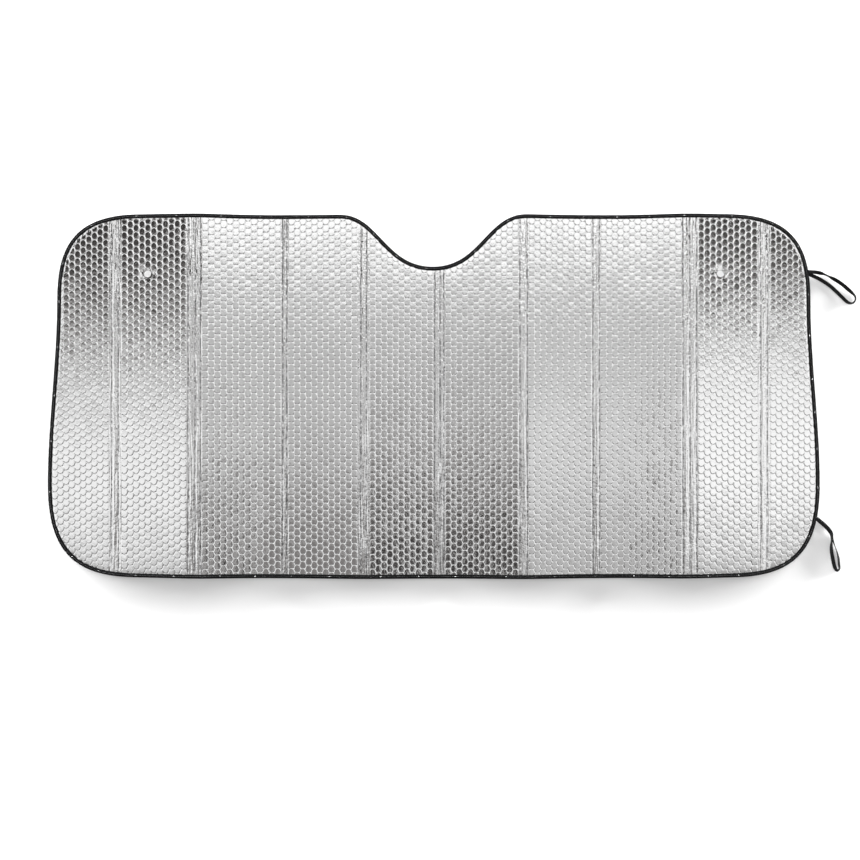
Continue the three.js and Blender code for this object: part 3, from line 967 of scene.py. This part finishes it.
def elastic(name, points, material, node):
    """Flat ribbed band that follows the points and rolls with them."""
    route = smooth_route(points, ROUTE_STEPS)
    tangents = np.gradient(route[:, :3], axis=0)
    tangents /= np.linalg.norm(tangents, axis=1)[:, None]
    half, thick = ELASTIC_WIDTH / 2, ELASTIC_THICKNESS / 2
    top = []
    for k in range(ELASTIC_RIBS * POINTS_PER_RIB + 1):
        share = k / (ELASTIC_RIBS * POINTS_PER_RIB)
        groove = RIB_DEPTH * abs(math.sin(math.pi * ELASTIC_RIBS * share)) - RIB_DEPTH
        shoulder = 1 - abs(2 * share - 1) ** ELASTIC_FLATNESS
        fullness = ELASTIC_EDGE + (1 - ELASTIC_EDGE) * shoulder
        top.append(((2 * share - 1) * half, (thick + groove) * fullness))
    section = top + [(across, -up) for across, up in reversed(top)]
    size = len(section)
    places, faces, uvs = [], [], []
    spots = np.vstack([route[:1], route, route[-1:]])
    ways = np.vstack([tangents[:1], tangents, tangents[-1:]])
    spots[0, :3] -= ways[0] * ELASTIC_SUNK
    spots[-1, :3] += ways[-1] * ELASTIC_SUNK
    reached = np.concatenate(
        [[0], np.cumsum(np.linalg.norm(np.diff(spots[:, :3], axis=0), axis=1))]
    )
    for spot, tangent in zip(spots, ways):
        level = Vector((-tangent[1], tangent[0], 0)).normalized()
        ahead = Vector(tangent)
        up = ahead.cross(level)
        roll = math.radians(spot[3])
        across = level * math.cos(roll) + up * math.sin(roll)
        above = ahead.cross(across)
        for aside, lift in section:
            place = Vector(spot[:3]) + across * aside + above * lift
            place.z = max(place.z, ELASTIC_FLOOR_GAP)
            places.append(place)
    for k in range(len(spots) - 1):
        for i in range(size):
            j = (i + 1) % size
            faces.append((k * size + i, (k + 1) * size + i, (k + 1) * size + j, k * size + j))
            low, high = section[i][0], section[j][0]
            near, far = reached[k], reached[k + 1]
            uvs += [near, low, far, low, far, high, near, high]
    faces.append(tuple(range(size)))
    uvs += [0.0] * (2 * size)
    faces.append(tuple(reversed(range(len(places) - size, len(places)))))
    uvs += [0.0] * (2 * size)
    obj = new_object(name, places, faces, material)
    obj.data.uv_layers.new(name="along and across").data.foreach_set("uv", uvs)
    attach(obj, "root")
    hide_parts(node)


elastic_look = elastic_material()
elastic("upper_elastic", UPPER_LOOP, elastic_look, "upper_elastic_loop")
elastic("lower_elastic", LOWER_LOOP, elastic_look, "lower_elastic_loop")

foil_looks = (foil_material(), creased_foil_material())
foil_front = FoilFace(1, FRONT_SEED).build("foil_front", foil_looks)
foil_back = FoilFace(-1, BACK_SEED).build("foil_back", foil_looks)
tape = binding(tape_material())
sewing = stitches(
    thread_material("black thread", BLACK_THREAD),
    thread_material("painted glint thread", GLINT_THREAD),
)
for piece in (foil_front, foil_back, tape, sewing):
    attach(piece, "root")
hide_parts("foil_bubble_panel")
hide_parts("edge_binding")


# Floor: half its size, its height, its glow where it is seen, and its shades
FLOOR_HALF = 5.5
FLOOR_HEIGHT = -0.0002
FLOOR_GLOW = 0.22
FLOOR_SHADES = ((0.93, 0.93, 0.93, 1), (0.7, 0.7, 0.7, 1))  # unseen and seen

# Ceiling: half its size, its height, and levels of light as stops along it or across it
CEILING_HALF = (2.0, 1.6)
CEILING_HEIGHT = 2.0
MIDDLE_LEVELS = [
    (-0.90, 0.05),
    (-0.52, 0.03),
    (-0.40, 0.10),
    (-0.28, 0.22),
    (-0.05, 0.36),
    (0.20, 0.47),
    (0.35, 0.52),
    (0.50, 0.68),
    (0.61, 0.92),
    (0.70, 1.1),
    (1.50, 1.1),
]
ASIDE_LEVELS = [
    (-0.80, 0.15),
    (-0.50, 0.17),
    (-0.40, 0.24),
    (-0.25, 0.40),
    (-0.12, 0.0),
    (0.13, 0.0),
    (0.29, 0.56),
    (0.36, 0.47),
    (0.59, 0.35),
    (0.70, 0.45),
    (1.00, 0.50),
]
LEFT_LEVELS = [
    (-0.90, 0.5),
    (-0.52, 0.76),
    (-0.40, 0.93),
    (-0.20, 0.97),
    (0.00, 0.85),
    (0.20, 0.57),
    (0.35, 0.29),
    (0.50, 0.13),
    (0.61, 0.05),
    (1.20, 0.03),
    (1.50, 0.3),
]
RIGHT_LEVELS = [
    (-0.90, 0.4),
    (-0.52, 0.66),
    (-0.40, 0.92),
    (-0.28, 1.08),
    (0.00, 1.0),
    (0.20, 0.94),
    (0.35, 0.58),
    (0.50, 0.22),
    (0.61, 0.09),
    (1.20, 0.03),
    (1.50, 0.3),
]
ASIDE_FADES = (-0.25, 0.42)
LEFT_END, RIGHT_START = (-1.2, -0.85), (1.0, 1.3)
DARK_TINT, BRIGHT_TINT, TINT_LEVELS = (1.06, 1.0, 0.975, 1), (1.0, 1.0, 1.0, 1), (0.0, 0.6)

# Screens round the studio
HORIZON = (0.03, 0.08)
PATCHES, PATCH_SHARE, PATCH_EDGE = 2.6, 0.7, (0.0, 0.16)
FINE_PATCHES, FINE_EDGE = 9, (0.4, 0.6)
DARK_LEVELS, PALE_LEVELS = (0.03, 0.32), (0.85, 1.15)

# Low lamps: turn from the middle of the upper edge in degrees, and power
LOW_LAMPS = [(-58, 4000), (0, 2100), (58, 4000)]
LAMP_SIZE = (5, 0.5)
LAMP_DISTANCE = 6
LAMP_HEIGHT = 0.35
LAMP_TILT = -86


def add_floor():
    material, graph = new_material("white floor")
    rays = graph.add("ShaderNodeLightPath").outputs
    seen = graph.math("ADD", rays["Is Camera Ray"], rays["Is Glossy Ray"])
    seen = graph.math("ADD", seen, rays["Is Transmission Ray"], clamp=True)
    strength = graph.math("MULTIPLY", seen, FLOOR_GLOW)
    glow = graph.add("ShaderNodeEmission", {"Strength": strength})
    paint = graph.add("ShaderNodeBsdfDiffuse", {"Color": graph.blend(seen, *FLOOR_SHADES)})
    both = graph.add("ShaderNodeAddShader", {0: glow.outputs[0], 1: paint.outputs[0]})
    graph.add("ShaderNodeOutputMaterial", {0: both.outputs[0]})
    level_plane("floor", FLOOR_HALF, FLOOR_HALF, FLOOR_HEIGHT, material)


def level_plane(name, half_width, half_depth, height, material):
    mesh = bpy.data.meshes.new(name)
    corners = [(-1, -1), (1, -1), (1, 1), (-1, 1)]
    places = [(x * half_width, y * half_depth, height) for x, y in corners]
    mesh.from_pydata(places, [], [(0, 1, 2, 3)])
    mesh.materials.append(material)
    plane = bpy.data.objects.new(name, mesh)
    bpy.context.collection.objects.link(plane)
    return plane


def add_ceiling():
    """Soft panels of light over the sheet, which its foil mirrors."""
    material, graph = new_material("ceiling lights")
    across, along, _ = graph.axes(graph.place())
    lower = graph.math("SUBTRACT", 1.0, graph.step(along, *ASIDE_FADES))
    aside = graph.math("MULTIPLY", graph.curve(across, ASIDE_LEVELS), lower)
    middle = graph.math("ADD", graph.curve(along, MIDDLE_LEVELS), aside)
    left, right = graph.curve(along, LEFT_LEVELS), graph.curve(along, RIGHT_LEVELS)
    level = graph.mix(graph.step(across, *LEFT_END), left, middle)
    level = graph.mix(graph.step(across, *RIGHT_START), level, right)
    tint = graph.blend(graph.step(level, *TINT_LEVELS), DARK_TINT, BRIGHT_TINT)
    glow = graph.add("ShaderNodeEmission", {"Color": tint, "Strength": level})
    graph.add("ShaderNodeOutputMaterial", {0: glow.outputs[0]})
    ceiling = level_plane("ceiling", *CEILING_HALF, CEILING_HEIGHT, material)
    ceiling.visible_camera = False


def add_surroundings():
    """A studio, white along the floor, with pale and dark screens round it above that."""
    world = bpy.data.worlds.new("studio")
    world.use_nodes = True
    bpy.context.scene.world = world
    graph = Graph(world.node_tree)
    way = graph.add("ShaderNodeTexCoord").outputs["Generated"]
    _, y, z = graph.axes(way)
    patches = graph.cloud(way, PATCHES, Detail=1)
    spread = graph.step(graph.cloud(way, FINE_PATCHES, Detail=1), *FINE_EDGE)
    dark, pale = graph.mix(spread, *DARK_LEVELS), graph.mix(spread, *PALE_LEVELS)
    turned = graph.math("MULTIPLY_ADD", patches, PATCH_SHARE, y)
    level = graph.mix(graph.step(turned, *PATCH_EDGE), dark, pale)
    level = graph.mix(graph.step(z, *HORIZON), 1.0, level)
    seen = graph.add("ShaderNodeLightPath").outputs["Is Camera Ray"]
    level = graph.mix(seen, level, 1.0)
    shade = graph.add("ShaderNodeBackground", {"Color": level})
    graph.add("ShaderNodeOutputWorld", {0: shade.outputs[0]})


def add_low_lamps():
    """Soft lamps low beyond the upper edge, for the shadow below the lower edge."""
    for turn, energy in LOW_LAMPS:
        data = bpy.data.lights.new("low lamp", "AREA")
        data.shape = "RECTANGLE"
        data.size, data.size_y = LAMP_SIZE
        data.energy = energy
        lamp = bpy.data.objects.new("low lamp", data)
        away = math.radians(90 + turn)
        x, y = LAMP_DISTANCE * math.cos(away), LAMP_DISTANCE * math.sin(away)
        lamp.location = (x, y, LAMP_HEIGHT)
        lamp.rotation_euler = (math.radians(LAMP_TILT), 0, math.radians(turn))
        lamp.visible_glossy = False
        bpy.context.collection.objects.link(lamp)


add_floor()
add_ceiling()
add_surroundings()
add_low_lamps()
bpy.context.scene.view_settings.view_transform = "Standard"
